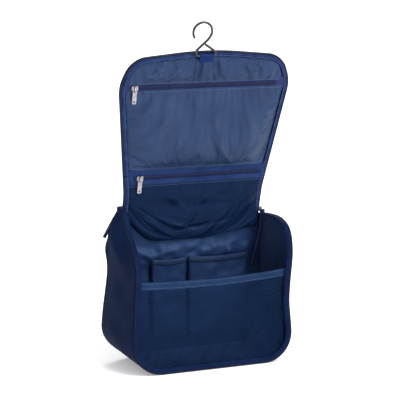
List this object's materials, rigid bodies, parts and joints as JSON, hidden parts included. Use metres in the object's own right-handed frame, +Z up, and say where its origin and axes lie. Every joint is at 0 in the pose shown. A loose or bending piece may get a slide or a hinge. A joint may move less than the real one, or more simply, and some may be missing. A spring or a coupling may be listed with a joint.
{
  "type": "hanging shaving kit bag",
  "caption": "Padded hanging wash bag, open, with a folding zip lid, zipped lid pockets, inner pockets, a net front and a folding wire hook.",
  "frame": {"origin": "middle of the underside, on the surface that the bag stands on", "axes": "+X to the right of the open bag, +Y to its back panel, +Z up"},
  "size_m": [0.2802, 0.1139, 0.5207],
  "materials": {
    "outer_fabric": "matt woven polyester",
    "padding": "soft foam",
    "lining_satin": "smooth satin weave",
    "zip_tape": "herringbone tape",
    "zip_coil": "nylon coil",
    "net": "knitted net",
    "elastic": "ribbed elastic",
    "ribbon": "woven ribbon",
    "webbing": "woven webbing",
    "nickel": "bright plated",
    "steel_wire": "dark bright steel"
  },
  "bodies": {
    "body": {"gusset_outer": "outer_fabric", "gusset_foam": "padding", "gusset_lining": "lining_satin", "back_outer": "outer_fabric", "back_foam": "padding", "back_lining": "lining_satin", "rim_tape": "zip_tape", "rim_coil": "zip_coil", "zip_end_stops": "nickel", "zip_tail_left": "zip_coil", "zip_tail_right": "zip_coil", "mesh_panel": "net", "mesh_binding": "elastic", "pocket_left": "lining_satin", "pocket_left_binding": "elastic", "pocket_right": "lining_satin", "pocket_right_binding": "elastic", "hinge_lining": "lining_satin"},
    "lid_root": {"lid_root_outer": "outer_fabric", "lid_root_foam": "padding", "lid_root_lining": "lining_satin", "lid_root_edge_tape": "zip_tape", "lid_root_edge_coil": "zip_coil"},
    "lid_shoulder": {"lid_shoulder_outer": "outer_fabric", "lid_shoulder_foam": "padding", "lid_shoulder_lining": "lining_satin", "lid_shoulder_edge_tape": "zip_tape", "lid_shoulder_edge_coil": "zip_coil", "lower_zip_tape": "zip_tape", "lower_zip_coil": "zip_coil"},
    "lid_flap": {"lid_flap_outer": "outer_fabric", "lid_flap_foam": "padding", "lid_flap_lining": "lining_satin", "lid_flap_edge_tape": "zip_tape", "lid_flap_edge_coil": "zip_coil", "upper_zip_tape": "zip_tape", "upper_zip_coil": "zip_coil", "hook_tab": "ribbon"},
    "hook": {"hook_wire": "steel_wire"},
    "upper_slider": {"upper_slider": "nickel"},
    "upper_puller": {"upper_puller": "nickel"},
    "lower_slider": {"lower_slider": "nickel"},
    "lower_puller": {"lower_puller": "nickel"},
    "main_slider_left": {"main_slider_left": "nickel"},
    "main_puller_left": {"main_puller_left": "nickel", "main_tab_left": "webbing"},
    "main_slider_right": {"main_slider_right": "nickel"},
    "main_puller_right": {"main_puller_right": "nickel", "main_tab_right": "webbing"}
  },
  "joints": [
    {"name": "lid_hinge", "type": "hinge", "parent": "body", "child": "lid_root", "pos_m": [0, 0.05, 0.2125], "axis": [1, 0, 0], "range_deg": [-90, 74]},
    {"name": "lid_fold_lower", "type": "hinge", "parent": "lid_root", "child": "lid_shoulder", "pos_m": [0, 0.03622, 0.26056], "axis": [1, 0, 0], "range_deg": [0, 30.9]},
    {"name": "lid_fold_upper", "type": "hinge", "parent": "lid_shoulder", "child": "lid_flap", "pos_m": [0, 0.02144, 0.31209], "axis": [1, 0, 0], "range_deg": [0, 55.3]},
    {"name": "hook_swing", "type": "hinge", "parent": "lid_flap", "child": "hook", "pos_m": [-0.0124, -0.0271, 0.46867], "axis": [1, 0, 0], "range_deg": [0, 178]},
    {"name": "upper_zip_slide", "type": "slide", "parent": "lid_flap", "child": "upper_slider", "axis": [1, 0, 0], "range_m": [0, 0.218]},
    {"name": "upper_puller_swing", "type": "hinge", "parent": "upper_slider", "child": "upper_puller", "pos_m": [-0.1095, -0.01473, 0.42281], "axis": [-1, 0, 0], "range_deg": [0, 176]},
    {"name": "lower_zip_slide", "type": "slide", "parent": "lid_shoulder", "child": "lower_slider", "axis": [1, 0, 0], "range_m": [0, 0.182]},
    {"name": "lower_puller_swing", "type": "hinge", "parent": "lower_slider", "child": "lower_puller", "pos_m": [-0.088, 0.02552, 0.28246], "axis": [-1, 0, 0], "range_deg": [0, 176]},
    {"name": "main_zip_slide_left", "type": "slide", "parent": "lid_root", "child": "main_slider_left", "axis": [0, -0.2756, 0.9613], "range_m": [0, 0.018]},
    {"name": "main_puller_swing_left", "type": "hinge", "parent": "main_slider_left", "child": "main_puller_left", "pos_m": [-0.11435, 0.04836, 0.23492], "axis": [0, 1, 0], "range_deg": [0, 150]},
    {"name": "main_zip_slide_right", "type": "slide", "parent": "lid_root", "child": "main_slider_right", "axis": [0, -0.2756, 0.9613], "range_m": [0, 0.03]},
    {"name": "main_puller_swing_right", "type": "hinge", "parent": "main_slider_right", "child": "main_puller_right", "pos_m": [0.12235, 0.05249, 0.2205], "axis": [0, -1, 0], "range_deg": [0, 155]}
  ]
}
